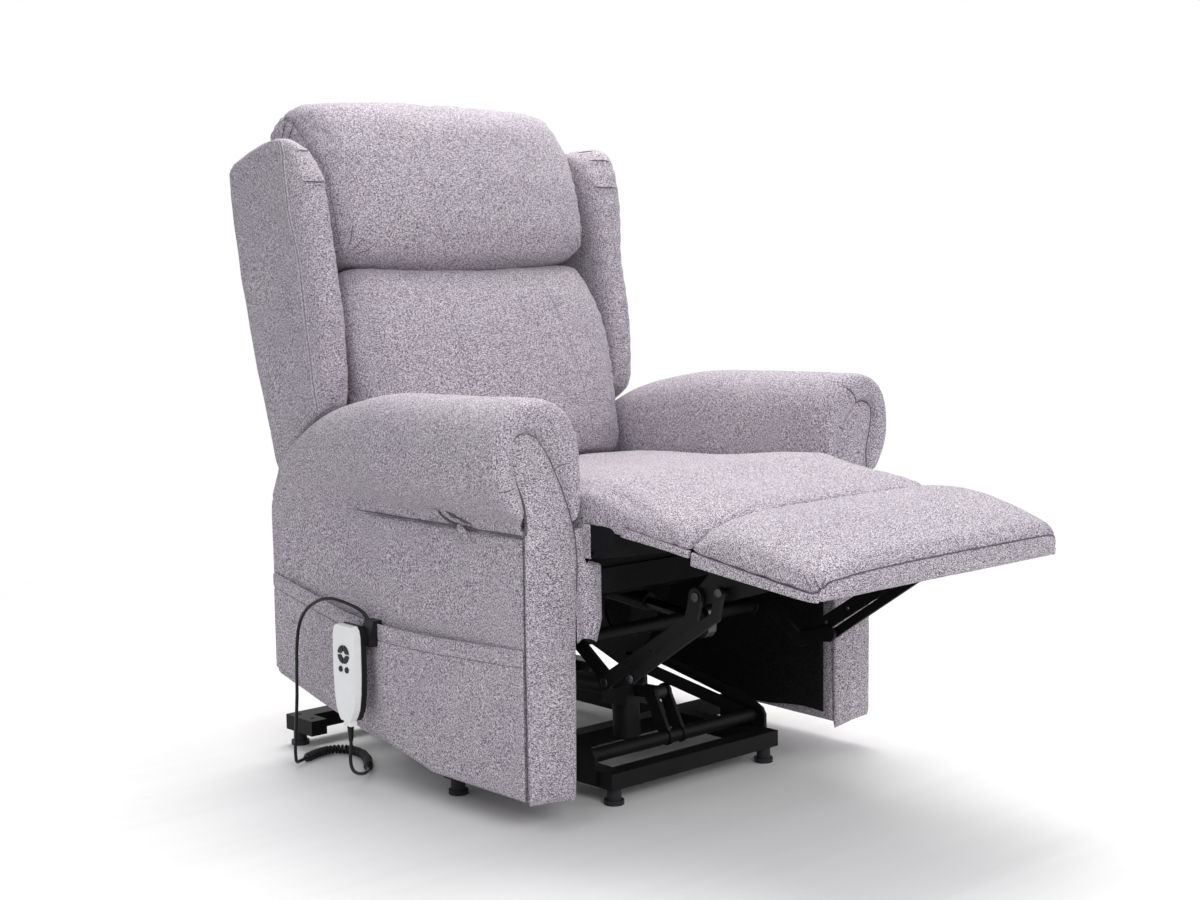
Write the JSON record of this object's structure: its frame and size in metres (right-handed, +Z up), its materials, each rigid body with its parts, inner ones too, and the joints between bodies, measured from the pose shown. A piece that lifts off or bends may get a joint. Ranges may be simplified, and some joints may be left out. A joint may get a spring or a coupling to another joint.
{
  "type": "lift recliner chair",
  "caption": "Upholstered wing-back lift recliner with folding leg rest, reclining back, tilting lift base, actuators, side pocket and wired handset.",
  "frame": {"origin": "on the floor, at the centre of the plan outline of the chair as it stands, leg rest raised", "axes": "+Z up, -Y the way the sitter faces, +X the sitter's left"},
  "size_m": [0.8226, 1.2276, 1.0633],
  "materials": {
    "upholstery": "woven, grey-lilac",
    "lining": "black liner cloth",
    "black_steel": "satin black powder coat",
    "actuator": "textured dark housing",
    "rod_steel": "bright plated rod",
    "timber": "planed softwood",
    "foot_plastic": "glide foot",
    "white_plastic": "fine satin",
    "black_plastic": "satin",
    "cord_black": "smooth cable jacket"
  },
  "bodies": {
    "base": {"base_cross_bars": "black_steel", "base_side_rails": "black_steel", "base_rear_bar": "black_steel", "base_feet": "foot_plastic", "base_brackets": "black_steel"},
    "lift_arm_pair": {"lift_arms": "black_steel", "lift_shaft": "black_steel"},
    "lift_link_pair": {"lift_links": "black_steel"},
    "lift_actuator": {"lift_motor": "actuator"},
    "lift_actuator_rod": {"lift_rod": "rod_steel"},
    "chassis": {"side_plates": "black_steel", "seat_cross_rails": "timber", "seat_side_rails": "timber", "cross_tubes": "black_steel", "seat_deck": "lining", "arm_box_left": "upholstery", "arm_box_right": "upholstery", "arm_pad_left": "upholstery", "arm_pad_right": "upholstery", "arm_facings": "upholstery", "seat_cushion": "upholstery", "side_pocket": "upholstery", "gusset_flaps": "upholstery", "arm_linings": "lining", "rear_valance": "upholstery", "control_box": "black_plastic", "recline_motor": "actuator", "leg_rest_motor": "actuator", "handset_hook": "black_plastic", "handset_back": "black_plastic", "handset_front": "white_plastic", "handset_relief": "cord_black", "cord_coil": "cord_black", "cord_leads": "cord_black"},
    "back": {"back_uprights": "black_steel", "back_low_rail": "black_steel", "back_wood_rails": "timber", "back_lever": "black_steel", "back_panel": "upholstery", "back_cushion": "upholstery", "headrest": "upholstery", "wing_left": "upholstery", "wing_right": "upholstery"},
    "recline_actuator_rod": {"recline_rod": "rod_steel"},
    "calf_rest": {"calf_pad": "upholstery", "calf_board": "timber"},
    "foot_rest": {"foot_pad": "upholstery", "foot_board": "timber", "foot_brackets": "black_steel"},
    "cranks": {"crank_links": "black_steel", "crank_tube": "black_steel"},
    "long_link_pair": {"long_links": "black_steel"},
    "short_link_pair": {"short_links": "black_steel"},
    "leg_rest_actuator_rod": {"leg_rest_rod": "rod_steel"},
    "key_back_up": {"button_back_up": "black_plastic"},
    "key_back_down": {"button_back_down": "black_plastic"},
    "key_legs_up": {"button_legs_up": "black_plastic"},
    "key_legs_down": {"button_legs_down": "black_plastic"},
    "key_rise": {"button_rise": "black_plastic"},
    "key_lower": {"button_lower": "black_plastic"}
  },
  "joints": [
    {"name": "lift", "type": "hinge", "parent": "base", "child": "lift_arm_pair", "pos_m": [0, -0.0922, 0.066], "axis": [1, 0, 0], "range_deg": [0, 58]},
    {"name": "lift_tilt", "type": "hinge", "parent": "lift_arm_pair", "child": "chassis", "pos_m": [0, 0.2028, 0.112], "axis": [1, 0, 0], "range_deg": [-33.5, 0]},
    {"name": "lift_link_swing", "type": "hinge", "parent": "base", "child": "lift_link_pair", "pos_m": [0, -0.0422, 0.09], "axis": [1, 0, 0], "range_deg": [0, 51.5]},
    {"name": "lift_actuator_pivot", "type": "hinge", "parent": "lift_arm_pair", "child": "lift_actuator", "pos_m": [0, -0.05826, 0.12722], "axis": [1, 0, 0], "range_deg": [-58.5, 0]},
    {"name": "lift_actuator_stroke", "type": "slide", "parent": "lift_actuator", "child": "lift_actuator_rod", "axis": [0, 0.9982, -0.0595], "range_m": [0, 0.0687]},
    {"name": "recline", "type": "hinge", "parent": "chassis", "child": "back", "pos_m": [0, 0.36325, 0.31034], "axis": [-1, 0, 0], "range_deg": [0, 35]},
    {"name": "recline_actuator_stroke", "type": "slide", "parent": "chassis", "child": "recline_actuator_rod", "axis": [0, 0.972, -0.2348], "range_m": [-0.0667, 0]},
    {"name": "leg_rest", "type": "hinge", "parent": "chassis", "child": "calf_rest", "pos_m": [0, -0.1922, 0.432], "axis": [1, 0, 0], "range_deg": [0, 70]},
    {"name": "foot_rest_fold", "type": "hinge", "parent": "calf_rest", "child": "foot_rest", "pos_m": [0, -0.38518, 0.40402], "axis": [1, 0, 0], "range_deg": [0, 11.8]},
    {"name": "crank_swing", "type": "hinge", "parent": "chassis", "child": "cranks", "pos_m": [0, -0.0242, 0.3], "axis": [1, 0, 0], "range_deg": [0, 71.2]},
    {"name": "long_link_swing", "type": "hinge", "parent": "cranks", "child": "long_link_pair", "pos_m": [0, -0.17018, 0.19802], "axis": [1, 0, 0], "range_deg": [-67.5, 0]},
    {"name": "short_link_swing", "type": "hinge", "parent": "cranks", "child": "short_link_pair", "pos_m": [0, -0.23318, 0.21502], "axis": [1, 0, 0], "range_deg": [-69, 0]},
    {"name": "leg_rest_actuator_stroke", "type": "slide", "parent": "chassis", "child": "leg_rest_actuator_rod", "axis": [0, -0.9954, -0.0956], "range_m": [-0.0876, 0]},
    {"name": "press_back_up", "type": "slide", "parent": "chassis", "child": "key_back_up", "axis": [1, 0, 0], "range_m": [0, 0.001], "stiffness_N_per_m": 800, "springref_m": -0.0008},
    {"name": "press_back_down", "type": "slide", "parent": "chassis", "child": "key_back_down", "axis": [1, 0, 0], "range_m": [0, 0.001], "stiffness_N_per_m": 800, "springref_m": -0.0008},
    {"name": "press_legs_up", "type": "slide", "parent": "chassis", "child": "key_legs_up", "axis": [1, 0, 0], "range_m": [0, 0.001], "stiffness_N_per_m": 800, "springref_m": -0.0008},
    {"name": "press_legs_down", "type": "slide", "parent": "chassis", "child": "key_legs_down", "axis": [1, 0, 0], "range_m": [0, 0.001], "stiffness_N_per_m": 800, "springref_m": -0.0008},
    {"name": "press_rise", "type": "slide", "parent": "chassis", "child": "key_rise", "axis": [1, 0, 0], "range_m": [0, 0.001], "stiffness_N_per_m": 800, "springref_m": -0.0008},
    {"name": "press_lower", "type": "slide", "parent": "chassis", "child": "key_lower", "axis": [1, 0, 0], "range_m": [0, 0.001], "stiffness_N_per_m": 800, "springref_m": -0.0008}
  ],
  "couplings": [
    {"joint": "lift_tilt", "follows": "lift", "ratio": -0.569},
    {"joint": "lift_link_swing", "follows": "lift", "ratio": 0.879},
    {"joint": "lift_actuator_pivot", "follows": "lift", "ratio": -1},
    {"joint": "lift_actuator_stroke", "follows": "lift", "m_per_rad": 0.0672},
    {"joint": "recline_actuator_stroke", "follows": "recline", "m_per_rad": -0.108},
    {"joint": "foot_rest_fold", "follows": "leg_rest", "ratio": 0.1643},
    {"joint": "crank_swing", "follows": "leg_rest", "ratio": 1.0107},
    {"joint": "long_link_swing", "follows": "leg_rest", "ratio": -0.9576},
    {"joint": "short_link_swing", "follows": "leg_rest", "ratio": -0.979},
    {"joint": "leg_rest_actuator_stroke", "follows": "leg_rest", "m_per_rad": -0.0709}
  ]
}
